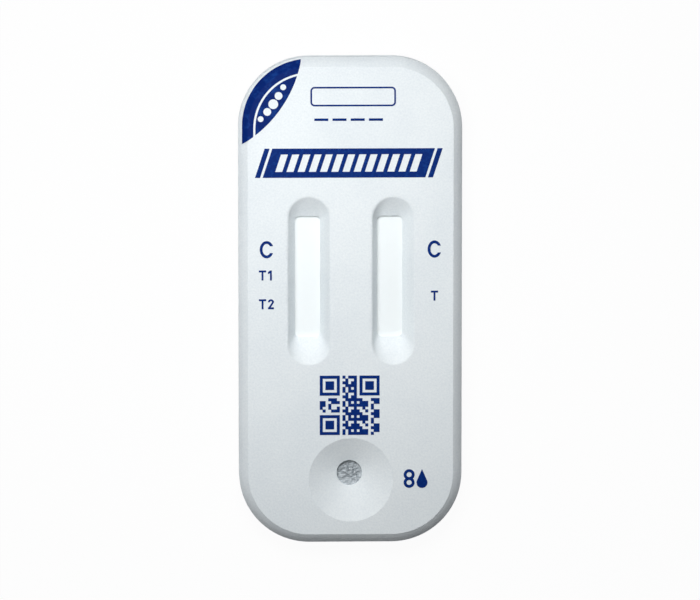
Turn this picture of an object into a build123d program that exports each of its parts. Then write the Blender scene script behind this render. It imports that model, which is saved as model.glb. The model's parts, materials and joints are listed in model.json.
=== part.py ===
from build123d import *
import os
from math import acos, cos, degrees, radians, sin

# A two-channel lateral flow cassette, in millimetres. The origin is at the middle of the underside,
# +Z is up, +Y runs from the sample well towards the absorbent pads, and +X is to the right of that.

# Outside of the closed cassette. Its height is what the strips and the two shells add up to.
body_width = 32.0
body_length = 70.0
corner_radius = 10.1
parting_height = 2.2
parting_chamfer = 0.1
base_edge_radius = 0.8

# Convex edge round the top face: it leaves the face at a crease and ends near the upright wall
edge_inset = 1.3
edge_start_slope = 32.0
edge_end_slope = 60.0

# Walls of the two shells, and the tongue and groove that line them up
side_wall = 1.2
base_floor = 1.1
cover_roof = 1.2
cavity_edge_radius = 0.4
tongue_thickness = 0.5
tongue_height = 0.5
tongue_clearance = 0.05

# Result windows, each at the foot of a scooped recess. Other distances along the cassette are
# from its sample end, or from its far end where the name says so.
window_spacing = 11.78
window_shift_x = -0.23
window_from_middle = 3.38
window_width = 3.7
window_length = 17.54
window_corner_radius = 0.75
window_draft = 0.04
window_boss_wall = 0.85
window_boss_side_run = 0.5
window_boss_end_step = 0.5
window_gap = 0.1
recess_spread = 0.3
recess_shift_x = 0.3
recess_shift_y = -0.41
recess_side_run = 1.135
recess_end_run = 3.3
recess_depth = 1.75
recess_rim_radius = 0.4

# Sample well, at the foot of an off-centre dish
well_radius = 1.83
well_centre_x = -0.15
well_distance = 10.04
well_collar_wall = 1.1
dish_radius = 6.06
dish_shift_x = 0.18
dish_shift_y = -0.86
dish_depth = 1.4
dish_boss_step = 0.6

# Test strips: a card that carries four porous layers, lapped one over the next
strip_width = 4.2
strip_start_distance = 5.5
strip_far_end_distance = 4.5
card_thickness = 0.3
membrane_thickness = 0.15
conjugate_thickness = 0.4
conjugate_length = 8.0
conjugate_under_recess = 0.88
sample_thickness = 0.5
absorbent_thickness = 0.9
absorbent_recess_gap = 0.18
sample_lap = 2.0
conjugate_lap = 2.0
absorbent_lap = 1.7
lap_ramp = 0.4
roof_clearance = 0.15

# Strip beds, guides and stops in the base
bed_height = 1.2
rib_thickness = 0.8
bed_rail_offset = 1.3
cross_rib_count = 6
guide_thickness = 0.6
guide_length = 4.0
guide_clearance = 0.15
guide_end_distance = 2.5
outer_guide_count = 5
inner_guide_count = 3
stop_clearance = 0.2
stop_height = 0.3
sample_rib_count = 4

# Ribs under the roof that hold the laps together
pressure_rib_thickness = 0.8
pressure_rib_margin = 0.2
pressure_rib_end_distance = 1.1
absorbent_rib_count = 3

# Pins of the cover in sockets of the base
pin_radius = 0.75
pin_root_radius = 1.3
pin_tip_chamfer = 0.2
pin_bottom_gap = 0.3
pin_shoulder_gap = 0.1
socket_radius = 1.5
socket_height = 1.5
socket_clearance = 0.02
corner_pin_side_distance = 5.0
corner_pin_end_distance = 6.5
side_pin_side_distance = 3.6
side_pin_end_distance = 21.0
centre_pin_distance = 4.0

# Ink on the cover
ink_thickness = 0.05
ink_spread = 0.03
corner_field_inset = 0.5
corner_field_shift_y = 0.3
corner_field_along_top = 8.9
corner_field_down_side = 12.35
corner_field_bulge = 1.56
corner_line_inset = 2.1
corner_line_width = 0.3
corner_dot_radii = (0.42, 0.56, 0.7, 0.56, 0.42)
corner_dot_inner_distance = 1.25
corner_dot_pitch = 1.4
band_centre_x = -0.27
band_shift_y = -0.575
band_length = 23.23
band_height = 4.19
band_slant = 1.38
band_bar_width = 0.72
band_bar_gap = 0.38
band_slot_count = 13
band_slot_pitch = 1.6
band_slot_width = 1.0
band_slot_height = 2.5
field_centre_x = 0.35
field_far_end_distance = 5.55
field_width = 12.2
field_height = 2.8
field_corner_radius = 0.6
field_line_width = 0.24
rule_centre_x = -0.3
rule_far_end_distance = 8.85
rule_dash_count = 4
rule_dash_length = 2.0
rule_dash_gap = 0.6
rule_height = 0.35
mark_side_distance = 3.99
mark_shift_x = -0.01
control_mark_above_window = 4.15
first_mark_above_window = 0.44
second_mark_above_window = -3.71
single_mark_above_window = -2.57
control_mark_width = 1.99
control_mark_height = 2.48
control_mark_stroke = 0.41
control_mark_mouth = 1.0
small_mark_height = 1.44
small_mark_stroke = 0.27
small_mark_step = 1.2
test_mark_width = 1.04
numeral_flag_reach = 0.43
numeral_bowl_radius = 0.43
numeral_bowl_drop = 0.39
numeral_leg_width = 0.32
code_dish_gap = 0.5
code_recess_gap = 1.6
code_modules = 21
code_corner_modules = 7
eight_from_well = 8.55
drop_from_well = 10.4
drop_mark_above_well = -0.69
eight_height = 2.7
eight_width = 1.58
eight_stroke = 0.42
drop_radius = 0.79
drop_height = 2.75

# Heights that follow from the sizes above
strip_rest = base_floor + bed_height
card_top = strip_rest + card_thickness
membrane_top = card_top + membrane_thickness
sample_top = card_top + sample_thickness
sample_lap_top = card_top + conjugate_thickness + sample_thickness
conjugate_lap_top = membrane_top + conjugate_thickness
absorbent_top = card_top + absorbent_thickness
absorbent_lap_top = membrane_top + absorbent_thickness
roof_underside = max(sample_lap_top, conjugate_lap_top, absorbent_lap_top) + roof_clearance
body_height = roof_underside + cover_roof
socket_top = base_floor + socket_height
window_boss_bottom = membrane_top + window_gap
recess_floor = body_height - recess_depth
dish_floor = body_height - dish_depth

# Places that follow from the sizes above
start_y = -body_length / 2
far_y = body_length / 2
strip_start_y = start_y + strip_start_distance
strip_end_y = far_y - strip_far_end_distance
window_y = window_from_middle
recess_y = window_y + recess_shift_y
recess_width = window_width + 2 * recess_side_run
recess_length = window_length + 2 * recess_end_run
conjugate_end_y = recess_y - recess_length / 2 + conjugate_under_recess
conjugate_start_y = conjugate_end_y - conjugate_length
sample_end_y = conjugate_start_y + sample_lap
absorbent_start_y = recess_y + recess_length / 2 + absorbent_recess_gap
membrane_start_y = conjugate_end_y - conjugate_lap
membrane_end_y = absorbent_start_y + absorbent_lap
well_y = start_y + well_distance
dish_x = well_centre_x + dish_shift_x
dish_y = well_y + dish_shift_y
rule_y = far_y - rule_far_end_distance
band_y = (recess_y + recess_length / 2 + rule_y - rule_height / 2) / 2 + band_shift_y
code_bottom = dish_y + dish_radius + code_dish_gap
code_top = recess_y - recess_length / 2 - code_recess_gap
code_pitch = (code_top - code_bottom) / code_modules
sides = {"left": -1, "right": 1}
window_x = {side: window_shift_x + sign * window_spacing / 2 for side, sign in sides.items()}
recess_x = {
    side: window_x[side] + recess_shift_x + sign * recess_spread / 2 for side, sign in sides.items()
}
pad_left = window_x["left"] - strip_width / 2
pad_right = window_x["right"] + strip_width / 2
bottom_centre = (Align.CENTER, Align.CENTER, Align.MIN)
beyond = 1.0
root_overlap = 0.1
arc_margin = 0.01
level_tolerance = 0.0001


def block(x_range, y_range, z_range):
    """A box between pairs of X, Y and Z values."""
    size = [high - low for low, high in (x_range, y_range, z_range)]
    return Pos(x_range[0], y_range[0], z_range[0]) * Box(*size, align=(Align.MIN,) * 3)


def across(centre, size):
    """The two values that lie half of size either side of centre."""
    return (centre - size / 2, centre + size / 2)


def spread(first, last, count):
    """Evenly spaced values from first to last."""
    return [first + (last - first) * number / (count - 1) for number in range(count)]


def round_bar(x, y, radius, bottom, top):
    return Pos(x, y, bottom) * Cylinder(radius, top - bottom, align=bottom_centre)


def body_plate(inset, bottom, top):
    """A plate with the cassette's plan, smaller by inset all round."""
    plan = RectangleRounded(body_width - 2 * inset, body_length - 2 * inset, corner_radius - inset)
    return extrude(Pos(0, 0, bottom) * plan, top - bottom)


def lofted(lower_plan, lower_z, upper_plan, upper_z):
    return loft([Pos(0, 0, lower_z) * lower_plan, Pos(0, 0, upper_z) * upper_plan], ruled=True)


def outer_form(growth=0.0):
    """The outside of the cover, grown evenly by growth: a plate less its convex top edge."""
    arc_radius = edge_inset / (sin(radians(edge_end_slope)) - sin(radians(edge_start_slope)))
    arc_centre_x = -edge_inset - arc_radius * sin(radians(edge_start_slope))
    arc_centre_z = body_height - arc_radius * cos(radians(edge_start_slope))
    grown_radius = arc_radius + growth
    top = body_height + growth
    start_slope = degrees(acos((top - arc_centre_z) / grown_radius))

    def on_arc(slope):
        angle = radians(slope)
        return (arc_centre_x + grown_radius * sin(angle), arc_centre_z + grown_radius * cos(angle))

    crease = on_arc(start_slope)
    foot = on_arc(edge_end_slope)
    arc = ThreePointArc(crease, on_arc((start_slope + edge_end_slope) / 2), foot)
    far_x = foot[0] + beyond
    far_z = top + beyond
    outside = Polyline(foot, (far_x, foot[1]), (far_x, far_z), (crease[0], far_z), crease)
    outline = RectangleRounded(body_width, body_length, corner_radius).face().outer_wire()
    tangent = outline % 0
    section_plane = Plane(origin=outline @ 0, x_dir=tangent.cross(Vector(0, 0, 1)), z_dir=-tangent)
    edge_cut = sweep(section_plane * make_face(arc + outside), path=outline)
    return body_plate(-growth, parting_height, top) - edge_cut


def window_plan(side, growth):
    plan = RectangleRounded(
        window_width + 2 * growth, window_length + 2 * growth, window_corner_radius + growth
    )
    return Pos(window_x[side], window_y) * plan


def recess_plan(side, side_growth=0.0, end_growth=0.0):
    width = recess_width + 2 * side_growth
    plan = RectangleRounded(width, recess_length + 2 * end_growth, width / 2 - arc_margin)
    return Pos(recess_x[side], recess_y) * plan


def pin_places():
    corner_x = body_width / 2 - corner_pin_side_distance
    corner_y = body_length / 2 - corner_pin_end_distance
    side_x = body_width / 2 - side_pin_side_distance
    side_y = body_length / 2 - side_pin_end_distance
    corners = [(x * corner_x, y * corner_y) for x in (-1, 1) for y in (-1, 1)]
    edges = [(x * side_x, y * side_y) for x in (-1, 1) for y in (-1, 1)]
    middle_ends = (sample_end_y + centre_pin_distance, strip_end_y - centre_pin_distance)
    return corners + edges + [(window_shift_x, y) for y in middle_ends]


def rim_edges(cover, side):
    """The edges where a recess meets the flat top."""
    found = []
    for edge in cover.edges():
        centre = edge.center()
        level = abs(centre.Z - body_height) < level_tolerance
        near_x = abs(centre.X - recess_x[side]) < recess_width / 2 + arc_margin
        near_y = abs(centre.Y - recess_y) < recess_length / 2 + arc_margin
        if level and near_x and near_y:
            found.append(edge)
    return found


def pressure_rib(side, centre_y, bottom):
    """A rib from the roof down to the pad under it."""
    width = strip_width - 2 * pressure_rib_margin
    height = (bottom, roof_underside + root_overlap)
    return block(across(window_x[side], width), across(centre_y, pressure_rib_thickness), height)


def cover_pin(x, y):
    tip = base_floor + pin_bottom_gap
    pin = round_bar(x, y, pin_radius, tip, roof_underside)
    pin = chamfer(pin.edges().sort_by(Axis.Z)[0], pin_tip_chamfer)
    shoulder = socket_top + pin_shoulder_gap
    return pin + round_bar(x, y, pin_root_radius, shoulder, roof_underside + root_overlap)


def make_top_cover():
    cover = outer_form()
    foot = cover.faces().sort_by(Axis.Z)[0].outer_wire().edges()
    cover = chamfer(foot, parting_chamfer)
    cavity = body_plate(side_wall, parting_height, roof_underside)
    cover -= fillet(cavity.edges().group_by(Axis.Z)[-1], cavity_edge_radius)
    groove_depth = tongue_height + tongue_clearance
    groove_inset = side_wall - tongue_thickness - tongue_clearance
    cover -= body_plate(groove_inset, parting_height, parting_height + groove_depth)

    end_rib_y = strip_end_y - pressure_rib_end_distance
    first_rib_y = membrane_end_y + lap_ramp + pressure_rib_end_distance
    for side in sides:
        boss_foot = window_plan(side, window_boss_wall)
        boss_root = recess_plan(side, window_boss_side_run, -window_boss_end_step)
        cover += lofted(boss_foot, window_boss_bottom, boss_root, roof_underside)
        cover += pressure_rib(side, strip_start_y + pressure_rib_end_distance, sample_top)
        cover += pressure_rib(side, sample_end_y - sample_lap / 2, sample_lap_top)
        cover += pressure_rib(side, conjugate_end_y - conjugate_lap / 2, conjugate_lap_top)
        for centre_y in spread(first_rib_y, end_rib_y, absorbent_rib_count):
            cover += pressure_rib(side, centre_y, absorbent_top)

    collar_foot = Pos(well_centre_x, well_y) * Circle(well_radius + well_collar_wall)
    collar_root = Pos(dish_x, dish_y) * Circle(dish_radius - dish_boss_step)
    cover += lofted(collar_foot, sample_top, collar_root, roof_underside)
    for x, y in pin_places():
        cover += cover_pin(x, y)

    for side in sides:
        cover -= lofted(window_plan(side, 0), recess_floor, recess_plan(side), body_height)
        window_foot = window_plan(side, -window_draft)
        cover -= lofted(window_foot, window_boss_bottom, window_plan(side, 0), recess_floor)
    well_top = Pos(well_centre_x, well_y) * Circle(well_radius)
    dish_rim = Pos(dish_x, dish_y) * Circle(dish_radius)
    cover -= lofted(well_top, dish_floor, dish_rim, body_height)
    cover -= round_bar(well_centre_x, well_y, well_radius, sample_top, dish_floor)
    for side in sides:
        cover = fillet(rim_edges(cover, side), recess_rim_radius)
    return cover


def strip_bed(side):
    """Two rails and their cross ribs under a strip, with a stop at its far end."""
    centre = window_x[side]
    height = (base_floor, strip_rest)
    bed = [
        block(across(centre + sign * bed_rail_offset, rib_thickness), (strip_start_y, strip_end_y), height)
        for sign in (-1, 1)
    ]
    for start in spread(strip_start_y, strip_end_y - rib_thickness, cross_rib_count):
        bed.append(block(across(centre, strip_width), (start, start + rib_thickness), height))
    stop_start = strip_end_y + stop_clearance
    stop_range = (stop_start, stop_start + rib_thickness)
    bed.append(block(across(centre, strip_width), stop_range, (base_floor, card_top + stop_height)))
    return bed


def strip_guides(side):
    """Short walls that keep a strip from moving sideways."""
    outward = sides[side]
    reach = strip_width / 2 + guide_clearance + guide_thickness / 2
    height = (base_floor, membrane_top)
    outer_first = strip_start_y + guide_end_distance
    inner_first = sample_end_y + guide_length / 2 + guide_clearance
    last = strip_end_y - guide_end_distance
    outer_places = spread(outer_first, last, outer_guide_count)
    inner_places = spread(inner_first, last, inner_guide_count)
    guides = []
    for direction, places in ((outward, outer_places), (-outward, inner_places)):
        wall = across(window_x[side] + direction * reach, guide_thickness)
        guides += [block(wall, across(centre_y, guide_length), height) for centre_y in places]
    return guides


def sample_supports():
    """Ribs that carry the wide sample pad between the two cards, and its end stop."""
    inner_left = window_x["left"] + strip_width / 2 + guide_clearance
    inner_right = window_x["right"] - strip_width / 2 - guide_clearance
    height = (base_floor, card_top)
    first = strip_start_y + guide_end_distance
    last = conjugate_start_y - rib_thickness
    ribs = [
        block((inner_left, inner_right), across(centre_y, rib_thickness), height)
        for centre_y in spread(first, last, sample_rib_count)
    ]
    stop_end = strip_start_y - stop_clearance
    stop_range = (stop_end - rib_thickness, stop_end)
    ribs.append(block((pad_left, pad_right), stop_range, (base_floor, card_top + stop_height)))
    return ribs


def make_base_tray():
    base = body_plate(0, 0, parting_height)
    base = fillet(base.edges().group_by(Axis.Z)[0], base_edge_radius)
    base = chamfer(base.edges().group_by(Axis.Z)[-1], parting_chamfer)
    base += body_plate(side_wall - tongue_thickness, base_floor, parting_height + tongue_height)
    base -= body_plate(side_wall, base_floor, parting_height + tongue_height)
    for side in sides:
        base += strip_bed(side)
        base += strip_guides(side)
    base += sample_supports()
    for x, y in pin_places():
        base += round_bar(x, y, socket_radius, base_floor, socket_top)
    for x, y in pin_places():
        base -= round_bar(x, y, pin_radius + socket_clearance, base_floor, socket_top)
    return base


def layer(x_range, profile):
    """A strip layer: its side profile, in Y and Z, extruded across the strip."""
    face = make_face(Polyline(*profile, close=True))
    return Pos(x_range[0], 0, 0) * extrude(Plane.YZ * face, x_range[1] - x_range[0])


def lapped_profile(flat_end, step_y, lap_end, low, high, thickness):
    """A pad that lies flat from flat_end to step_y, then laps over a layer that stands high."""
    away = 1 if step_y > flat_end else -1
    return (
        (flat_end, low),
        (step_y, low),
        (step_y, high),
        (lap_end, high),
        (lap_end, high + thickness),
        (step_y, high + thickness),
        (step_y - away * lap_ramp, low + thickness),
        (flat_end, low + thickness),
    )


def make_strip(side):
    """The card of one strip, and the layers that no other strip shares."""
    width = across(window_x[side], strip_width)
    card = block(width, (strip_start_y, strip_end_y), (strip_rest, card_top))
    membrane = block(width, (membrane_start_y, membrane_end_y), (card_top, membrane_top))
    conjugate = lapped_profile(
        conjugate_start_y, membrane_start_y, conjugate_end_y, card_top, membrane_top, conjugate_thickness
    )
    absorbent = lapped_profile(
        strip_end_y, membrane_end_y, absorbent_start_y, card_top, membrane_top, absorbent_thickness
    )
    return {
        f"backing_card_{side}": card,
        f"membrane_{side}": membrane,
        f"conjugate_pad_{side}": layer(width, conjugate),
        f"absorbent_pad_{side}": layer(width, absorbent),
    }


def make_sample_pad():
    lap_rest = card_top + conjugate_thickness
    profile = lapped_profile(
        strip_start_y, conjugate_start_y, sample_end_y, card_top, lap_rest, sample_thickness
    )
    return layer((pad_left, pad_right), profile)


def printed(plan):
    """A flat field of ink on the top face."""
    return extrude(Pos(0, 0, body_height) * plan, ink_thickness)


def make_corner_field():
    """Ink over one corner, down the convex edge, with a bare line and a row of bare dots."""
    left = -body_width / 2
    side_tip = Vector(left + corner_field_inset, far_y - corner_field_down_side)
    top_tip = Vector(left + corner_field_along_top, far_y - corner_field_inset)
    chord = top_tip - side_tip
    inward = Vector(chord.Y, -chord.X).normalized()
    middle = (side_tip + top_tip) / 2 + inward * corner_field_bulge
    inner_edge = ThreePointArc(side_tip, middle, top_tip)
    far_left = left - beyond
    far_top = far_y + beyond
    outside = Polyline(
        top_tip, (top_tip.X, far_top), (far_left, far_top), (far_left, side_tip.Y), side_tip
    )
    region = make_face(inner_edge + outside)
    arc_radius = (chord.length**2 / 4 + corner_field_bulge**2) / (2 * corner_field_bulge)
    arc_centre = middle - inward * arc_radius
    row_radius = arc_radius - corner_dot_inner_distance
    for number, radius in enumerate(corner_dot_radii):
        steps_from_middle = number - (len(corner_dot_radii) - 1) / 2
        turn = degrees(steps_from_middle * corner_dot_pitch / row_radius)
        place = arc_centre + inward.rotate(Axis.Z, turn) * row_radius
        region -= Pos(place.X, place.Y) * Circle(radius)
    low = body_height - edge_inset - beyond
    field = extrude(Pos(0, 0, low) * region, edge_inset + 2 * beyond)
    field &= Pos(0, corner_field_shift_y) * body_plate(corner_field_inset, low, body_height + beyond)
    line = body_plate(corner_line_inset, low, body_height + beyond)
    line -= body_plate(corner_line_inset + corner_line_width, low, body_height + beyond)
    return (outer_form(ink_thickness) - outer_form()) & (field - line)


def slanted_bar(left, centre_y, width, height):
    """A bar whose foot starts at left of the band's middle, leaning as the title band does."""
    lean = band_slant / band_height
    low = centre_y - height / 2 - band_y
    high = low + height
    corners = [
        (left + low * lean, low),
        (left + width + low * lean, low),
        (left + width + high * lean, high),
        (left + high * lean, high),
    ]
    return Pos(band_centre_x, band_y) * Polygon(*corners, align=None)


def make_title_band():
    """A leaning band between two leaning bars, with a row of bare slots in place of words."""
    left = -band_length / 2
    band = slanted_bar(left, band_y, band_length, band_height)
    first_slot = -band_slot_pitch * (band_slot_count - 1) / 2 - band_slot_width / 2
    for number in range(band_slot_count):
        band -= slanted_bar(
            first_slot + number * band_slot_pitch, band_y, band_slot_width, band_slot_height
        )
    band += slanted_bar(left - band_bar_gap - band_bar_width, band_y, band_bar_width, band_height)
    band += slanted_bar(left + band_length + band_bar_gap, band_y, band_bar_width, band_height)
    return printed(band)


def make_write_on_field():
    """An empty outlined field with a dashed rule under it."""
    outline = RectangleRounded(field_width, field_height, field_corner_radius)
    outline -= RectangleRounded(
        field_width - 2 * field_line_width,
        field_height - 2 * field_line_width,
        field_corner_radius - field_line_width,
    )
    plan = Pos(field_centre_x, far_y - field_far_end_distance) * outline
    pitch = rule_dash_length + rule_dash_gap
    for number in range(rule_dash_count):
        offset = (number - (rule_dash_count - 1) / 2) * pitch
        plan += Pos(rule_centre_x + offset, rule_y) * Rectangle(rule_dash_length, rule_height)
    return printed(plan)


def control_mark():
    """An open ring, the usual mark of a control line."""
    half_width = control_mark_width / 2
    half_height = control_mark_height / 2
    ring = Ellipse(half_width, half_height)
    ring -= Ellipse(half_width - control_mark_stroke, half_height - control_mark_stroke)
    return ring - Pos(half_width, 0) * Rectangle(half_width, control_mark_mouth)


def test_mark():
    """A T with its middle at the origin."""
    height = small_mark_height
    stroke = small_mark_stroke
    stem = Rectangle(stroke, height)
    return stem + Pos(0, (height - stroke) / 2) * Rectangle(test_mark_width, stroke)


def numeral_one():
    height = small_mark_height
    stroke = small_mark_stroke
    flag = Polygon(
        (stroke / 2, height / 2),
        (-stroke / 2, height / 2),
        (-numeral_flag_reach, height / 2 - stroke),
        (-numeral_flag_reach, height / 2 - 2 * stroke),
        (stroke / 2, height / 2 - stroke),
        align=None,
    )
    return Rectangle(stroke, height) + flag


def numeral_two():
    height = small_mark_height
    stroke = small_mark_stroke
    radius = numeral_bowl_radius
    bowl_y = height / 2 - radius
    foot_y = (stroke - height) / 2
    bowl = Circle(radius) - Circle(radius - stroke)
    bowl -= Pos(-radius, -radius) * Rectangle(2 * radius, 2 * radius)
    bowl -= Pos(0, -radius) * Rectangle(2 * radius, 2 * numeral_bowl_drop)
    leg = Polygon(
        (radius, bowl_y),
        (radius - stroke, bowl_y),
        (-radius, foot_y),
        (numeral_leg_width - radius, foot_y),
        align=None,
    )
    foot = Pos(0, foot_y) * Rectangle(2 * radius, stroke)
    return Pos(0, bowl_y) * bowl + leg + foot


def mark_x(side):
    return mark_shift_x + sides[side] * (body_width / 2 - mark_side_distance)


def make_left_marks():
    centre = mark_x("left")
    plan = Pos(centre, window_y + control_mark_above_window) * control_mark()
    for above_window, numeral in (
        (first_mark_above_window, numeral_one()),
        (second_mark_above_window, numeral_two()),
    ):
        plan += Pos(centre - small_mark_step / 2, window_y + above_window) * test_mark()
        plan += Pos(centre + small_mark_step / 2, window_y + above_window) * numeral
    return printed(plan)


def make_right_marks():
    centre = mark_x("right")
    plan = Pos(centre, window_y + control_mark_above_window) * control_mark()
    plan += Pos(centre, window_y + single_mark_above_window) * test_mark()
    return printed(plan)


def in_corner_square(column, row):
    """Whether a module belongs to one of three corner squares, and is inked there."""
    last = code_modules - code_corner_modules
    for start_column, start_row in ((0, 0), (last, 0), (0, last)):
        across_square = column - start_column
        up_square = row - start_row
        if -1 <= across_square <= code_corner_modules and -1 <= up_square <= code_corner_modules:
            middle = (code_corner_modules - 1) / 2
            ring = max(abs(across_square - middle), abs(up_square - middle))
            return True, ring in (middle, 0, 1)
    return False, False


def is_inked(column, row):
    """A plain arithmetic pattern of modules that holds no message."""
    in_square, inked = in_corner_square(column, row)
    if in_square:
        return inked
    return (column * row + 2 * column + 3 * row + column // 3) % 5 in (0, 2, 3)


def make_code_panel():
    """A square of modules, each row of neighbours drawn as one bar."""
    start_x = well_centre_x - code_pitch * code_modules / 2
    bars = []
    for row in range(code_modules):
        column = 0
        while column < code_modules:
            length = 0
            while column + length < code_modules and is_inked(column + length, row):
                length += 1
            if length:
                x = start_x + (column + length / 2) * code_pitch
                y = code_top - (row + 1 / 2) * code_pitch
                bar = Rectangle(length * code_pitch + ink_spread, code_pitch + ink_spread)
                bars.append(Pos(x, y) * bar)
            column += max(length, 1)
    return printed(Sketch() + bars)


def make_drop_mark():
    """A plain eight beside a drop: the count of drops to put in the well."""
    lobe = eight_height / 2 + eight_stroke / 2
    eight = Sketch()
    for sign in (-1, 1):
        centre = sign * (eight_height - lobe) / 2
        outer = Ellipse(eight_width / 2, lobe / 2)
        inner = Ellipse(eight_width / 2 - eight_stroke, lobe / 2 - eight_stroke)
        eight += Pos(0, centre) * (outer - inner)
    mark_y = well_y + drop_mark_above_well
    plan = Pos(well_centre_x + eight_from_well, mark_y) * eight
    drop_middle = drop_radius - drop_height / 2
    tip = drop_height / 2
    reach = tip - drop_middle
    touch_angle = acos(drop_radius / reach)
    touch_x = drop_radius * sin(touch_angle)
    touch_y = drop_middle + drop_radius * cos(touch_angle)
    drop = Pos(0, drop_middle) * Circle(drop_radius)
    drop += Polygon((0, tip), (-touch_x, touch_y), (touch_x, touch_y), align=None)
    return printed(plan + Pos(well_centre_x + drop_from_well, mark_y) * drop)


def main():
    os.makedirs("parts", exist_ok=True)
    pieces = {"top_cover": make_top_cover(), "base_tray": make_base_tray()}
    for side in sides:
        pieces.update(make_strip(side))
    pieces["sample_pad"] = make_sample_pad()
    pieces["print_corner_field"] = make_corner_field()
    pieces["print_title_band"] = make_title_band()
    pieces["print_write_on_field"] = make_write_on_field()
    pieces["print_left_marks"] = make_left_marks()
    pieces["print_right_marks"] = make_right_marks()
    pieces["print_code_panel"] = make_code_panel()
    pieces["print_drop_mark"] = make_drop_mark()
    for name, piece in pieces.items():
        export_step(piece, f"parts/{name}.step")
        print(name, round(piece.volume, 4))


main()
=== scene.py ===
"""Looks of a two-channel lateral flow cassette, built round its CAD frame, in metres."""

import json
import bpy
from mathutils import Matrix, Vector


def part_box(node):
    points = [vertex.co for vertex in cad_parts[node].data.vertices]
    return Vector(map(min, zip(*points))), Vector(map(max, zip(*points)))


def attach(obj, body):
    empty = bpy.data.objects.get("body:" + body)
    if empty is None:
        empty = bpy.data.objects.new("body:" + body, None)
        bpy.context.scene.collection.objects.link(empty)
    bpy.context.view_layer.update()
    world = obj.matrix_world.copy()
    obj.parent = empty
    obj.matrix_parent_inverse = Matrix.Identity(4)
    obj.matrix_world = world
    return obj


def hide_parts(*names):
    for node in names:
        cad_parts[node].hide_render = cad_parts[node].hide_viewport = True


bl_info = {
    "name": "Lateral flow cassette",
    "version": (1, 0, 0),
    "blender": (4, 5, 0),
    "location": "View3D > Sidebar > Cassette",
    "description": "Finishes the cassette's plastic and ink, makes its test strips, and sets its stage",
    "category": "Object",
}

from math import radians

import bmesh
import bpy
from mathutils import Euler, Vector

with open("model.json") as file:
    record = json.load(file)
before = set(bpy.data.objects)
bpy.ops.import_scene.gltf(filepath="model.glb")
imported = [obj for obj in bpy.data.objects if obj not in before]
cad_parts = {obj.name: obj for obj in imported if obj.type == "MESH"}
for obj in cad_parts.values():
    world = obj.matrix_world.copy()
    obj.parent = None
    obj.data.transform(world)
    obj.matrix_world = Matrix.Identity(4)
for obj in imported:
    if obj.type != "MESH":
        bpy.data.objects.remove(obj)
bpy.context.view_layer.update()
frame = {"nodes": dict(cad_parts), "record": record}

MM = 0.001
SIDES = ("left", "right")
LAMPS = ("far_lamp", "near_lamp", "side_lamp")
# The fleece pads are cut flat and fill their thickness
# Side of one face in each layer's grid, fine enough for the relief that it carries
GRID = {
    "membrane": 0.35 * MM,
    "conjugate_pad": 0.16 * MM,
    "absorbent_pad": 0.2 * MM,
    "sample_pad": 0.12 * MM,
}
# Width of one wave of each layer's relief
WAVE = {"membrane": 3 * MM, "conjugate_pad": 0.4 * MM, "absorbent_pad": 0.6 * MM}
# A second pattern over the first is this many times finer
FINER = 3
# Width of the membrane's grain and of the felt's fibres, next to the fleece's fibres
GRAIN_SHARE = 0.7
FELT_SHARE = 1.4
# The ink of the corner field is mottled this many times more coarsely
CORNER_COARSENESS = 2
# Parts of a noise's range that are stretched to the whole of a pattern
TONE_RANGE = (0.35, 0.65)
GRIT_RANGE = (0.25, 0.75)
FILM_RANGE = (0.48, 0.74)
FIBRE_RANGE = (0.45, 0.75)
# Fibres cross at these angles, in degrees, and their width is this share of their length
FIBRE_TURNS = (20.0, -50.0, 80.0)
FIBRE_STRETCH = 0.12
# A lap climbs in this many steps, and a corner this near a step's line, in metres, is on it
LAP_STEPS = 4
ON_THE_LINE = 1e-7
# A layer's cut edges are rounded by no more than its thickness over EDGE_LIMIT
EDGE_SEGMENTS = 2
EDGE_ANGLE = radians(60)
EDGE_LIMIT = 3
# Faces that meet more steeply than this keep their edge
SMOOTH_ANGLE = radians(50)
# What has a normal that rises more than this faces up
FACING_UP = 0.5
# The creases fill this share of the well's radius, and fade out near its rim
CREASED_SHARE = 0.97
RIM_FADE = 4
WHITE = (1.0, 1.0, 1.0, 1.0)
# Width of a full-frame camera's sensor, in millimetres
SENSOR_WIDTH = 36.0
well = next(mount for mount in frame["record"]["mounts"] if mount["name"] == "sample_well")
WELL_PLACE = Vector(well["pos_m"])
WELL_RADIUS = well["dims"]["r_mm"] * MM
FACE_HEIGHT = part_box("top_cover")[1][2]
CARD_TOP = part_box("backing_card_left")[1][2]
MEMBRANE_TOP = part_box("membrane_left")[1][2]
# How far a pad climbs from its card onto its membrane
LAP_RISE = MEMBRANE_TOP - CARD_TOP


def size(name, description, millimetres):
    """A property that holds a length, in metres."""
    return bpy.props.FloatProperty(
        name=name, description=description, default=millimetres * MM, unit="LENGTH", precision=6
    )


def point(name, description, millimetres):
    """A property that holds a point, in metres."""
    return bpy.props.FloatVectorProperty(
        name=name,
        description=description,
        default=[value * MM for value in millimetres],
        subtype="TRANSLATION",
        unit="LENGTH",
    )


def watts(name, description, power):
    """A property that holds a lamp's power."""
    return bpy.props.FloatProperty(name=name, description=description, default=power, unit="POWER")


def number(name, description, default):
    """A property that holds a plain number."""
    return bpy.props.FloatProperty(name=name, description=description, default=default)


def angle(name, description, degrees_wanted):
    """A property that holds an angle, in radians."""
    return bpy.props.FloatProperty(
        name=name, description=description, default=radians(degrees_wanted), subtype="ANGLE"
    )


def linear(hex_colour):
    """An sRGB hex colour as linear red, green and blue."""
    channels = [int(hex_colour[start : start + 2], 16) / 255 for start in (1, 3, 5)]
    return [
        value / 12.92 if value <= 0.04045 else ((value + 0.055) / 1.055) ** 2.4
        for value in channels
    ]


def colour(name, description, hex_colour):
    """A property that holds a colour."""
    return bpy.props.FloatVectorProperty(
        name=name, description=description, subtype="COLOR", size=3, default=linear(hex_colour)
    )


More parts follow.
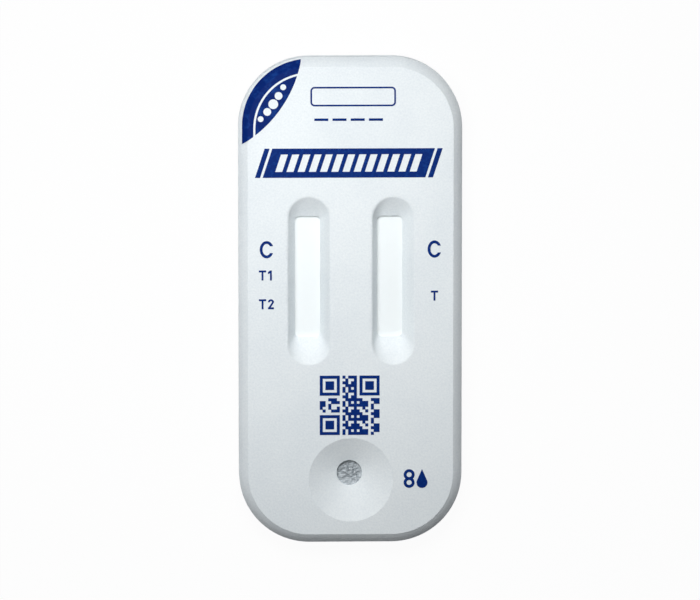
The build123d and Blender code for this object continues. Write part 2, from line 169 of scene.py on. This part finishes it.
class HousingLooks(bpy.types.PropertyGroup):
    """The two moulded shells."""

    plastic: colour("Plastic", "White polystyrene", "#F3F9FB")
    # This colour is the painted shade in the grit's pits, and also the faint cooler tone patches
    plastic_pit_shade_and_cool: colour("Plastic, cool", "The same in its pits and cooler patches", "#E2EAEF")
    tone_patch: size("Tone patch", "Width of the faint tone patches", 9.0)
    grit: size("Grit", "Width of one pit of the spark-eroded finish", 0.28)
    pit_depth: size("Pit depth", "Depth of the pits", 0.014)
    # The pits are painted darker as shade; this is their share of the mix, against the random tone
    # patches
    pit_shade_share: number("Pit share", "Share of the pits in the tone of the plastic", 0.7)
    smoothest: number("Smoothest", "Roughness where the plastic is smoothest", 0.5)
    roughest: number("Roughest", "Roughness where the plastic is roughest", 0.62)
    ior: number("IOR", "Typical of polystyrene", 1.49)


class InkLooks(bpy.types.PropertyGroup):
    """The pad-printed ink."""

    navy: colour("Navy", "Ink at full strength", "#062A73")
    thin_navy: colour("Thin navy", "Ink where it went on thinly", "#123D8A")
    corner_navy: colour("Corner navy", "Ink of the corner field", "#04246C")
    corner_thin: colour("Corner navy, thin", "The same where it went on thinly", "#17408C")
    mottle: size("Mottle", "Width of a thin patch of ink", 0.55)
    film_relief: size("Film relief", "Depth of the film's unevenness", 0.004)
    roughness: number("Roughness", "Roughness of the dried film", 0.5)
    sheen: number("Sheen", "Specular level of the dried film", 0.05)
    ior: number("IOR", "Typical of a dried ink", 1.48)


class StripLooks(bpy.types.PropertyGroup):
    """The porous layers of the two test strips and their shared sample pad."""

    membrane: colour("Membrane", "Nitrocellulose", "#F6FBFC")
    membrane_shade: number("Membrane shade", "Share of its colour in the grain", 0.985)
    membrane_grain: size("Membrane grain", "Depth of the membrane's grain", 0.003)
    membrane_relief: size("Membrane relief", "Depth of the membrane's waves", 0.01)
    membrane_roughness: number("Membrane roughness", "Dead matt", 0.95)
    membrane_ior: number("Membrane IOR", "Lower than the solid's, as it is porous", 1.4)
    card: colour("Card", "Polystyrene backing card", "#F2F2EC")
    card_shade: number("Card shade", "Share of its colour in the clouds", 0.97)
    card_cloud: size("Card cloud", "Width of the card's faint clouds", 2.5)
    card_relief: size("Card relief", "Depth of the card's unevenness", 0.004)
    card_roughness: number("Card roughness", "A little glossy", 0.35)
    card_ior: number("Card IOR", "Typical of a filled polystyrene", 1.55)
    conjugate: colour("Conjugate", "Fleece with dried conjugate", "#D9B9B4")
    # Between the fibres the conjugate's colour is darkened: painted shade
    conjugate_shade: number("Conjugate shade", "Share of its colour between fibres", 0.8)
    conjugate_fibres: size("Conjugate fibres", "Depth of the fleece's fibres", 0.02)
    conjugate_roughness: number("Conjugate roughness", "Dry fleece", 0.9)
    absorbent: colour("Absorbent", "Cotton linter felt", "#EFEDE6")
    # Between the fibres the felt's colour is darkened: painted shade
    absorbent_shade: number("Absorbent shade", "Share of its colour between fibres", 0.88)
    absorbent_fibres: size("Absorbent fibres", "Depth of the felt's fibres", 0.03)
    absorbent_roughness: number("Absorbent roughness", "Dry felt", 0.95)
    # Light on the fibres and dark in the hollows: partly the pad's own grey, partly a painted highlight
    # on the fibres and painted shade in the hollows
    sample_light: colour("Sample pad, light", "Fibres of the sample pad that catch light", "#CDD5DA")
    sample_dark: colour("Sample pad, dark", "Hollows of the sample pad", "#848C92")
    sample_fibres: size("Sample fibres", "Depth of the sample pad's fibres", 0.03)
    sample_roughness: number("Sample roughness", "Shines, as the pad is wetted", 0.24)
    fibre: size("Fibre", "Spacing of the fleece's fibre bundles", 0.16)
    fibre_ior: number("Fibre IOR", "Typical of glass and cotton fibres", 1.5)
    lap_ramp: size("Lap ramp", "Run over which a layer climbs onto its neighbour", 0.5)
    edge_round: size("Edge round", "Radius of a layer's cut edges", 0.05)
    felt_relief: size("Felt relief", "Depth of the felt's unevenness", 0.05)
    well_sink: size("Well sink", "How far the wetted sample pad settles in the well", 0.2)
    crumple: size("Crumple", "Depth of the creases in the well", 0.25)
    crease_pitch: size("Crease pitch", "Distance between creases in the well", 0.52)


class StageSettings(bpy.types.PropertyGroup):
    """Camera, lamps and floor."""

    view_width: size("View width", "Width of the picture at the cassette's face", 100.2)
    view_x: size("View X", "X of the middle of the picture", -0.1)
    view_y: size("View Y", "Y of the middle of the picture", 0.23)
    camera_distance: size("Camera distance", "Distance of the camera from the face", 850.0)
    lean_left: angle("Lean left", "Lean of the camera towards the left", 2.0)
    lean_far: angle("Lean far", "Lean of the camera towards the absorbent end", 7.0)
    far_lamp_place: point("Far lamp place", "Where the main lamp is", (-18.0, 132.0, 245.0))
    far_lamp_target: point("Far lamp target", "Where the main lamp aims", (0.0, 0.0, 0.0))
    far_lamp_size: size("Far lamp size", "Side of the main lamp", 80.0)
    far_lamp_power: watts("Far lamp power", "Power of the main lamp", 0.17)
    near_lamp_place: point("Near lamp place", "Where the near lamp is", (-16.0, 40.0, 100.0))
    near_lamp_target: point("Near lamp target", "Where the near lamp aims", (0.0, -40.0, 0.0))
    near_lamp_size: size("Near lamp size", "Side of the near lamp", 55.0)
    near_lamp_power: watts("Near lamp power", "Power of the near lamp", 0.0735)
    side_lamp_place: point("Side lamp place", "Where the side lamp is", (-120.0, 60.0, 200.0))
    side_lamp_target: point("Side lamp target", "Where the side lamp aims", (0.0, 0.0, 0.0))
    side_lamp_size: size("Side lamp size", "Side of the side lamp", 80.0)
    side_lamp_power: watts("Side lamp power", "Power of the side lamp", 0.07)
    world_level: number("World level", "Brightness of the surroundings", 0.035)
    world_colour: colour("World colour", "Colour of the surroundings", "#F4F9FF")
    floor_size: size("Floor size", "Side of the square floor", 3000.0)
    floor_drop: size("Floor drop", "Gap that keeps the floor and the underside apart", 0.03)
    floor_colour: colour("Floor colour", "Colour of the floor under the lamps", "#F4F6F8")
    floor_glow: number("Floor glow", "Share of the floor that shows as plain white", 0.96)


def add_node(tree, kind, inputs=None, links=None, **settings):
    """Adds one shader node, sets its settings and inputs, and links other sockets into it."""
    node = tree.nodes.new(kind)
    for name, value in settings.items():
        setattr(node, name, value)
    for name, value in (inputs or {}).items():
        node.inputs[name].default_value = value
    for name, source in (links or {}).items():
        tree.links.new(source, node.inputs[name])
    return node


def rgba(rgb):
    """The same colour with full opacity."""
    return (*rgb, 1.0)


def shaded(tint, share):
    """A colour with that share of its light."""
    return [value * share for value in tint]


def new_material(name, uniform):
    """A material with its uniform values: itself, its node tree and its Principled shader."""
    material = bpy.data.materials.new(name)
    material.use_nodes = True
    material.node_tree.nodes.clear()
    shader = add_node(material.node_tree, "ShaderNodeBsdfPrincipled", uniform)
    add_node(
        material.node_tree, "ShaderNodeOutputMaterial", links={"Surface": shader.outputs["BSDF"]}
    )
    return material, material.node_tree, shader


def patches(tree, place, width, detail=3.0, roughness=0.5):
    """Noise whose patches are about width across."""
    noise = add_node(
        tree,
        "ShaderNodeTexNoise",
        {"Scale": 1.0 / width, "Detail": detail, "Roughness": roughness},
        {"Vector": place},
    )
    return noise.outputs["Fac"]


def mixed(tree, factor, low, high):
    """A colour that goes from low to high with the factor."""
    # The colour sockets share their names with others, so they go by their index
    node = add_node(
        tree, "ShaderNodeMix", {6: rgba(low), 7: rgba(high)}, {0: factor}, data_type="RGBA"
    )
    return node.outputs[2]


def stretched(tree, socket, low, high):
    """The socket's values from low to high, stretched to 0 to 1."""
    node = add_node(
        tree, "ShaderNodeMapRange", {"From Min": low, "From Max": high}, {"Value": socket}
    )
    return node.outputs["Result"]


def bumped(tree, height, depth):
    """A normal that stands for a relief of that depth."""
    return add_node(
        tree, "ShaderNodeBump", {"Distance": depth}, {"Height": height}
    ).outputs["Normal"]


def surfaced(tree, shader, tint, normal):
    """Gives the shader its colour and its relief."""
    tree.links.new(tint, shader.inputs["Base Color"])
    tree.links.new(normal, shader.inputs["Normal"])


def cover_with(objects, material):
    """Gives each object that one material."""
    for thing in objects:
        thing.data.materials.clear()
        thing.data.materials.append(material)


def moulded_polystyrene(looks):
    # White high-impact polystyrene from a spark-eroded mould: matt, with a fine even grit
    material, tree, shader = new_material("moulded white polystyrene", {"IOR": looks.ior})
    place = add_node(tree, "ShaderNodeTexCoord").outputs["Object"]
    # The real pits are about 0.05 mm wide; they are drawn wider so that they show
    grit = patches(tree, place, looks.grit, detail=2.0, roughness=0.6)
    tone = patches(tree, place, looks.tone_patch, detail=2.0)
    # The colour is darker in the grit's pits, which is painted shade, and in faint random tone patches
    pit_shade_and_tone = add_node(
        tree,
        "ShaderNodeMix",
        {"Factor": looks.pit_shade_share},
        {"A": stretched(tree, tone, *TONE_RANGE), "B": stretched(tree, grit, *GRIT_RANGE)},
    )
    base = mixed(tree, pit_shade_and_tone.outputs["Result"], looks.plastic_pit_shade_and_cool, looks.plastic)
    surfaced(tree, shader, base, bumped(tree, grit, looks.pit_depth))
    worn = patches(tree, place, looks.tone_patch / FINER)
    rough = add_node(
        tree,
        "ShaderNodeMapRange",
        {"To Min": looks.smoothest, "To Max": looks.roughest},
        {"Value": worn},
    )
    tree.links.new(rough.outputs["Result"], shader.inputs["Roughness"])
    return material


def printed_ink(name, looks, strong, thin, mottle):
    # Pad-printing ink on matt plastic: nearly opaque, with a soft satin and slightly uneven film
    material, tree, shader = new_material(
        name, {"Roughness": looks.roughness, "IOR": looks.ior, "Specular IOR Level": looks.sheen}
    )
    place = add_node(tree, "ShaderNodeTexCoord").outputs["Object"]
    film = patches(tree, place, mottle, detail=4.0, roughness=0.6)
    base = mixed(tree, stretched(tree, film, *FILM_RANGE), strong, thin)
    surfaced(tree, shader, base, bumped(tree, film, looks.film_relief))
    return material


def cast_nitrocellulose(looks):
    # Cast nitrocellulose membrane: chalk white and dead matt, with a very fine open grain
    material, tree, shader = new_material(
        "cast nitrocellulose membrane",
        {"Roughness": looks.membrane_roughness, "IOR": looks.membrane_ior},
    )
    place = add_node(tree, "ShaderNodeTexCoord").outputs["Object"]
    grain = patches(tree, place, looks.fibre * GRAIN_SHARE)
    shade = shaded(looks.membrane, looks.membrane_shade)
    base = mixed(tree, grain, shade, looks.membrane)
    surfaced(tree, shader, base, bumped(tree, grain, looks.membrane_grain))
    return material


def calendered_card(looks):
    # Calendered white polystyrene card: smooth and a little glossy, with an adhesive coat on top
    material, tree, shader = new_material(
        "calendered polystyrene card", {"Roughness": looks.card_roughness, "IOR": looks.card_ior}
    )
    place = add_node(tree, "ShaderNodeTexCoord").outputs["Object"]
    cloud = patches(tree, place, looks.card_cloud)
    base = mixed(tree, cloud, shaded(looks.card, looks.card_shade), looks.card)
    surfaced(tree, shader, base, bumped(tree, cloud, looks.card_relief))
    return material


def fibre_mat(name, looks, light, dark, fibre, depth, roughness):
    # A wet-laid fibre mat: fibres lie flat and cross at all angles, so three stretched grains
    # overlap. Real fibres are about 0.01 mm wide; they are drawn as bundles so that they show
    material, tree, shader = new_material(name, {"Roughness": roughness, "IOR": looks.fibre_ior})
    place = add_node(tree, "ShaderNodeTexCoord").outputs["Object"]
    grains = []
    for turn in FIBRE_TURNS:
        along = add_node(
            tree,
            "ShaderNodeMapping",
            {"Rotation": (0.0, 0.0, radians(turn)), "Scale": (FIBRE_STRETCH, 1.0, 1.0)},
            {"Vector": place},
        )
        grains.append(patches(tree, along.outputs["Vector"], fibre, detail=2.0))
    crossed = grains[0]
    for grain in grains[1:]:
        crossed = add_node(
            tree, "ShaderNodeMath", links={0: crossed, 1: grain}, operation="MAXIMUM"
        ).outputs[0]
    fibres = stretched(tree, crossed, *FIBRE_RANGE)
    # The colour goes from the dark colour between the fibres to the light one on them: painted shade
    # between the fibres, and on the sample pad also a painted highlight on them
    surfaced(tree, shader, mixed(tree, fibres, dark, light), bumped(tree, fibres, depth))
    return material


def start_clean():
    """Leaves edit mode and deselects everything."""
    if bpy.context.object and bpy.context.object.mode != "OBJECT":
        bpy.ops.object.mode_set(mode="OBJECT")
    bpy.ops.object.select_all(action="DESELECT")


def select_points(thing, wanted):
    """In edit mode, selects just the vertices whose place passes the test."""
    mesh = bmesh.from_edit_mesh(thing.data)
    bpy.ops.mesh.select_mode(type="VERT")
    bpy.ops.mesh.select_all(action="DESELECT")
    for vertex in mesh.verts:
        vertex.select = wanted(vertex.co)
    mesh.select_flush(True)
    bmesh.update_edit_mesh(thing.data)


def add_grid(name, x_range, y_range, height, spacing):
    """A level grid between X and Y values, with its place in its mesh."""
    start_clean()
    width = x_range[1] - x_range[0]
    length = y_range[1] - y_range[0]
    middle = ((x_range[0] + x_range[1]) / 2, (y_range[0] + y_range[1]) / 2, height)
    bpy.ops.mesh.primitive_grid_add(
        x_subdivisions=max(2, round(width / spacing)),
        y_subdivisions=max(2, round(length / spacing)),
        size=1.0,
        location=middle,
    )
    grid = bpy.context.object
    grid.name = name
    grid.data.name = name
    grid.scale = (width, length, 1.0)
    bpy.ops.object.transform_apply(location=True, rotation=True, scale=True)
    return grid


def apply_modifier(thing, kind, **settings):
    """Adds a modifier with its settings and applies it."""
    start_clean()
    thing.select_set(True)
    bpy.context.view_layer.objects.active = thing
    bpy.ops.object.modifier_add(type=kind)
    modifier = thing.modifiers[-1]
    for name, value in settings.items():
        setattr(modifier, name, value)
    bpy.ops.object.modifier_apply(modifier=modifier.name)


def relief_texture(name, kind, pitch, **settings):
    """A procedural texture whose pattern repeats about every pitch."""
    texture = bpy.data.textures.new(name, kind)
    texture.noise_scale = pitch
    for key, value in settings.items():
        setattr(texture, key, value)
    return texture


def raise_lap(layer, towards, step_y, rise, ramp):
    """Lifts what lies past step_y by rise, over a short ramp that ends there."""
    bpy.ops.object.mode_set(mode="EDIT")
    for step in range(LAP_STEPS):
        line = step_y - towards * ramp * (LAP_STEPS - 1 - step) / LAP_STEPS
        select_points(layer, lambda spot: (spot.y - line) * towards > -ON_THE_LINE)
        bpy.ops.transform.translate(value=(0.0, 0.0, rise / LAP_STEPS))
    bpy.ops.object.mode_set(mode="OBJECT")


def thicken(layer, thickness, edge_round):
    """Gives a grid its thickness downwards, and rounds its cut edges."""
    apply_modifier(layer, "SOLIDIFY", thickness=thickness, offset=-1.0)
    apply_modifier(
        layer,
        "BEVEL",
        width=edge_round,
        segments=EDGE_SEGMENTS,
        limit_method="ANGLE",
        angle_limit=EDGE_ANGLE,
    )


def top_side(layer):
    """A vertex group of all that faces up."""
    group = layer.vertex_groups.new(name="top side")
    upward = {
        corner
        for face in layer.data.polygons
        if face.normal.z > FACING_UP
        for corner in face.vertices
    }
    group.add(sorted(upward), 1.0, "REPLACE")
    return group.name


def sink_unevenly(layer, depth, pitch):
    """Presses the top side down a little, more in some places than in others."""
    texture = relief_texture(f"{layer.name} relief", "CLOUDS", pitch, noise_depth=2)
    apply_modifier(
        layer,
        "DISPLACE",
        texture=texture,
        texture_coords="LOCAL",
        direction="Z",
        strength=-depth,
        mid_level=0.0,
        vertex_group=top_side(layer),
    )


def seat(layer, node, material):
    """Lets a finished layer stand for its CAD node."""
    cover_with([layer], material)
    start_clean()
    layer.select_set(True)
    bpy.context.view_layer.objects.active = layer
    bpy.ops.object.shade_smooth_by_angle(angle=SMOOTH_ANGLE)
    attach(layer, "root")
    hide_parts(node)


def make_layer(node, towards, step_y, rise, spacing, looks):
    """A strip layer in the place of its CAD node, climbing by rise past step_y."""
    low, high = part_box(node)
    thickness = high[2] - low[2] - rise
    layer = add_grid(
        f"{node}_dressed", (low[0], high[0]), (low[1], high[1]), low[2] + thickness, spacing
    )
    if rise:
        raise_lap(layer, towards, step_y, rise, looks.lap_ramp)
    thicken(layer, thickness, min(looks.edge_round, thickness / EDGE_LIMIT))
    return layer


class CASSETTE_OT_housing(bpy.types.Operator):
    """Finishes the two shells as moulded plastic"""

    bl_idname = "cassette.housing"
    bl_label = "Finish the housing"

    def execute(self, context):
        material = moulded_polystyrene(context.scene.cassette_housing)
        cover_with([frame["nodes"]["top_cover"], frame["nodes"]["base_tray"]], material)
        return {"FINISHED"}


class CASSETTE_OT_ink(bpy.types.Operator):
    """Finishes the printed fields and marks"""

    bl_idname = "cassette.ink"
    bl_label = "Finish the ink"

    def execute(self, context):
        looks = context.scene.cassette_ink
        plain = printed_ink(
            "pad-printed navy ink", looks, looks.navy, looks.thin_navy, looks.mottle
        )
        corner = printed_ink(
            "pad-printed ink over an edge",
            looks,
            looks.corner_navy,
            looks.corner_thin,
            looks.mottle * CORNER_COARSENESS,
        )
        for name, node in frame["nodes"].items():
            if name == "print_corner_field":
                cover_with([node], corner)
            elif name.startswith("print_"):
                cover_with([node], plain)
        return {"FINISHED"}


class CASSETTE_OT_cards(bpy.types.Operator):
    """Finishes the backing cards"""

    bl_idname = "cassette.cards"
    bl_label = "Finish the backing cards"

    def execute(self, context):
        material = calendered_card(context.scene.cassette_strips)
        cover_with([frame["nodes"][f"backing_card_{side}"] for side in SIDES], material)
        return {"FINISHED"}


class CASSETTE_OT_membranes(bpy.types.Operator):
    """Makes the two membranes that show in the windows"""

    bl_idname = "cassette.membranes"
    bl_label = "Make the membranes"

    def execute(self, context):
        looks = context.scene.cassette_strips
        material = cast_nitrocellulose(looks)
        for side in SIDES:
            node = f"membrane_{side}"
            layer = make_layer(node, 1, 0.0, 0.0, GRID["membrane"], looks)
            sink_unevenly(layer, looks.membrane_relief, WAVE["membrane"])
            seat(layer, node, material)
        return {"FINISHED"}


class CASSETTE_OT_conjugate_pads(bpy.types.Operator):
    """Makes the two conjugate pads, each lapped onto its membrane"""

    bl_idname = "cassette.conjugate_pads"
    bl_label = "Make the conjugate pads"

    def execute(self, context):
        looks = context.scene.cassette_strips
        material = fibre_mat(
            "glass fibre fleece with conjugate",
            looks,
            looks.conjugate,
            shaded(looks.conjugate, looks.conjugate_shade),
            looks.fibre,
            looks.conjugate_fibres,
            looks.conjugate_roughness,
        )
        for side in SIDES:
            node = f"conjugate_pad_{side}"
            lap_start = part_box(f"membrane_{side}")[0][1]
            layer = make_layer(node, 1, lap_start, LAP_RISE, GRID["conjugate_pad"], looks)
            sink_unevenly(layer, looks.felt_relief, WAVE["conjugate_pad"])
            seat(layer, node, material)
        return {"FINISHED"}


class CASSETTE_OT_absorbent_pads(bpy.types.Operator):
    """Makes the two absorbent pads, each lapped onto its membrane"""

    bl_idname = "cassette.absorbent_pads"
    bl_label = "Make the absorbent pads"

    def execute(self, context):
        looks = context.scene.cassette_strips
        material = fibre_mat(
            "cotton linter felt",
            looks,
            looks.absorbent,
            shaded(looks.absorbent, looks.absorbent_shade),
            looks.fibre * FELT_SHARE,
            looks.absorbent_fibres,
            looks.absorbent_roughness,
        )
        for side in SIDES:
            node = f"absorbent_pad_{side}"
            lap_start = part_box(f"membrane_{side}")[1][1]
            layer = make_layer(node, -1, lap_start, LAP_RISE, GRID["absorbent_pad"], looks)
            sink_unevenly(layer, looks.felt_relief, WAVE["absorbent_pad"])
            seat(layer, node, material)
        return {"FINISHED"}


def settle_in_well(pad, looks):
    """Sinks the pad's top side under the well and creases it there like a wetted fleece."""
    centre = WELL_PLACE.xy
    group_name = "in the well"
    group = pad.vertex_groups.new(name=group_name)
    for vertex in pad.data.vertices:
        reach = (vertex.co.xy - centre).length / (WELL_RADIUS * CREASED_SHARE)
        if reach < 1.0 and vertex.normal.z > FACING_UP:
            group.add([vertex.index], 1.0 - reach**RIM_FADE, "REPLACE")
    apply_modifier(
        pad,
        "DISPLACE",
        direction="Z",
        strength=-looks.well_sink,
        mid_level=0.0,
        vertex_group=group_name,
    )
    creases = relief_texture(
        "creases", "MUSGRAVE", looks.crease_pitch, musgrave_type="RIDGED_MULTIFRACTAL", octaves=2.0
    )
    folds = relief_texture("folds", "CLOUDS", looks.crease_pitch / FINER, noise_depth=1)
    for texture, depth in ((creases, looks.crumple), (folds, looks.crumple / FINER)):
        apply_modifier(
            pad,
            "DISPLACE",
            texture=texture,
            texture_coords="LOCAL",
            direction="Z",
            strength=depth,
            mid_level=0.5,
            vertex_group=group_name,
        )


class CASSETTE_OT_sample_pad(bpy.types.Operator):
    """Makes the wide sample pad, crumpled where it shows in the well"""

    bl_idname = "cassette.sample_pad"
    bl_label = "Make the sample pad"

    def execute(self, context):
        looks = context.scene.cassette_strips
        material = fibre_mat(
            "wetted glass fibre fleece",
            looks,
            looks.sample_light,
            looks.sample_dark,
            looks.fibre,
            looks.sample_fibres,
            looks.sample_roughness,
        )
        node = "sample_pad"
        low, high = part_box(node)
        lap_low, lap_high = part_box("conjugate_pad_left")
        rise = lap_high[2] - MEMBRANE_TOP
        thickness = high[2] - low[2] - rise
        pad = add_grid(
            "sample_pad_dressed",
            (low[0], high[0]),
            (low[1], high[1]),
            low[2] + thickness,
            GRID["sample_pad"],
        )
        raise_lap(pad, 1, lap_low[1], rise, looks.lap_ramp)
        thicken(pad, thickness, looks.edge_round)
        settle_in_well(pad, looks)
        seat(pad, node, material)
        return {"FINISHED"}


def paper_white(settings):
    # A seamless studio sweep: shows as plain white, and still takes a faint shadow
    material = bpy.data.materials.new("white studio sweep")
    material.use_nodes = True
    tree = material.node_tree
    tree.nodes.clear()
    matt = add_node(tree, "ShaderNodeBsdfDiffuse", {"Color": rgba(settings.floor_colour)})
    glow = add_node(tree, "ShaderNodeEmission", {"Color": WHITE, "Strength": 1.0})
    seen = add_node(tree, "ShaderNodeLightPath")
    plain = add_node(
        tree,
        "ShaderNodeMath",
        {1: settings.floor_glow},
        {0: seen.outputs["Is Camera Ray"]},
        operation="MULTIPLY",
    )
    mirrored = add_node(
        tree,
        "ShaderNodeMath",
        links={0: seen.outputs["Is Glossy Ray"], 1: seen.outputs["Is Transmission Ray"]},
        operation="MAXIMUM",
    )
    share = add_node(
        tree,
        "ShaderNodeMath",
        links={0: plain.outputs[0], 1: mirrored.outputs[0]},
        operation="MAXIMUM",
    )
    blend = add_node(
        tree,
        "ShaderNodeMixShader",
        links={0: share.outputs[0], 1: matt.outputs["BSDF"], 2: glow.outputs["Emission"]},
    )
    add_node(tree, "ShaderNodeOutputMaterial", links={"Surface": blend.outputs["Shader"]})
    return material


def light_world(scene, settings):
    """Even surroundings that show as white to the camera and in reflections."""
    world = bpy.data.worlds.new("studio surroundings")
    scene.world = world
    world.use_nodes = True
    tree = world.node_tree
    tree.nodes.clear()
    lit = add_node(
        tree,
        "ShaderNodeBackground",
        {"Color": rgba(settings.world_colour), "Strength": settings.world_level},
    )
    shown = add_node(tree, "ShaderNodeBackground", {"Color": WHITE, "Strength": 1.0})
    seen = add_node(tree, "ShaderNodeLightPath")
    either = seen.outputs["Is Camera Ray"]
    for ray in ("Is Glossy Ray", "Is Transmission Ray"):
        either = add_node(
            tree, "ShaderNodeMath", links={0: either, 1: seen.outputs[ray]}, operation="MAXIMUM"
        ).outputs[0]
    blend = add_node(
        tree,
        "ShaderNodeMixShader",
        links={0: either, 1: lit.outputs["Background"], 2: shown.outputs["Background"]},
    )
    add_node(tree, "ShaderNodeOutputWorld", links={"Surface": blend.outputs["Shader"]})


def add_lamp(settings, name):
    """A soft square lamp, aimed at its target."""
    start_clean()
    lamp_place = Vector(getattr(settings, f"{name}_place"))
    aim = lamp_place - Vector(getattr(settings, f"{name}_target"))
    bpy.ops.object.light_add(type="AREA", location=lamp_place)
    lamp = bpy.context.object
    lamp.name = name
    lamp.data.shape = "SQUARE"
    lamp.data.size = getattr(settings, f"{name}_size")
    lamp.data.energy = getattr(settings, f"{name}_power")
    lamp.rotation_mode = "QUATERNION"
    lamp.rotation_quaternion = aim.to_track_quat("Z", "Y")


def add_camera(scene, settings):
    """A long lens above the face, that leans a little to the left and to the far end."""
    start_clean()
    target = Vector((settings.view_x, settings.view_y, FACE_HEIGHT))
    lean = Euler((-settings.lean_far, -settings.lean_left, 0.0))
    back = lean.to_matrix() @ Vector((0.0, 0.0, settings.camera_distance))
    bpy.ops.object.camera_add(location=target + back, rotation=lean)
    camera = bpy.context.object
    camera.name = "camera"
    camera.data.sensor_width = SENSOR_WIDTH
    camera.data.lens = SENSOR_WIDTH * settings.camera_distance / settings.view_width
    scene.camera = camera


class CASSETTE_OT_stage(bpy.types.Operator):
    """Sets the floor, the surroundings, the lamps and the camera"""

    bl_idname = "cassette.stage"
    bl_label = "Set the stage"

    def execute(self, context):
        scene = context.scene
        settings = scene.cassette_stage
        scene.view_settings.view_transform = "Standard"
        start_clean()
        bpy.ops.mesh.primitive_plane_add(
            size=settings.floor_size, location=(0.0, 0.0, -settings.floor_drop)
        )
        floor = bpy.context.object
        floor.name = "floor"
        cover_with([floor], paper_white(settings))
        light_world(scene, settings)
        for name in LAMPS:
            add_lamp(settings, name)
        add_camera(scene, settings)
        return {"FINISHED"}


class CASSETTE_PT_panel(bpy.types.Panel):
    """Lists the steps that build the cassette"""

    bl_label = "Lateral flow cassette"
    bl_idname = "CASSETTE_PT_panel"
    bl_space_type = "VIEW_3D"
    bl_region_type = "UI"
    bl_category = "Cassette"

    def draw(self, context):
        for operator in OPERATORS:
            self.layout.operator(operator.bl_idname)


GROUPS = {
    "cassette_housing": HousingLooks,
    "cassette_ink": InkLooks,
    "cassette_strips": StripLooks,
    "cassette_stage": StageSettings,
}
OPERATORS = (
    CASSETTE_OT_housing,
    CASSETTE_OT_ink,
    CASSETTE_OT_cards,
    CASSETTE_OT_membranes,
    CASSETTE_OT_conjugate_pads,
    CASSETTE_OT_absorbent_pads,
    CASSETTE_OT_sample_pad,
    CASSETTE_OT_stage,
)


def register():
    for group in (*GROUPS.values(), *OPERATORS, CASSETTE_PT_panel):
        bpy.utils.register_class(group)
    for name, group in GROUPS.items():
        setattr(bpy.types.Scene, name, bpy.props.PointerProperty(type=group))


def unregister():
    for name in GROUPS:
        delattr(bpy.types.Scene, name)
    for group in (CASSETTE_PT_panel, *reversed(OPERATORS), *reversed(GROUPS.values())):
        bpy.utils.unregister_class(group)


def main():
    """Builds everything."""
    register()
    bpy.ops.cassette.housing()
    bpy.ops.cassette.ink()
    bpy.ops.cassette.cards()
    bpy.ops.cassette.membranes()
    bpy.ops.cassette.conjugate_pads()
    bpy.ops.cassette.absorbent_pads()
    bpy.ops.cassette.sample_pad()
    bpy.ops.cassette.stage()
    start_clean()


if __name__ == "__main__":
    main()
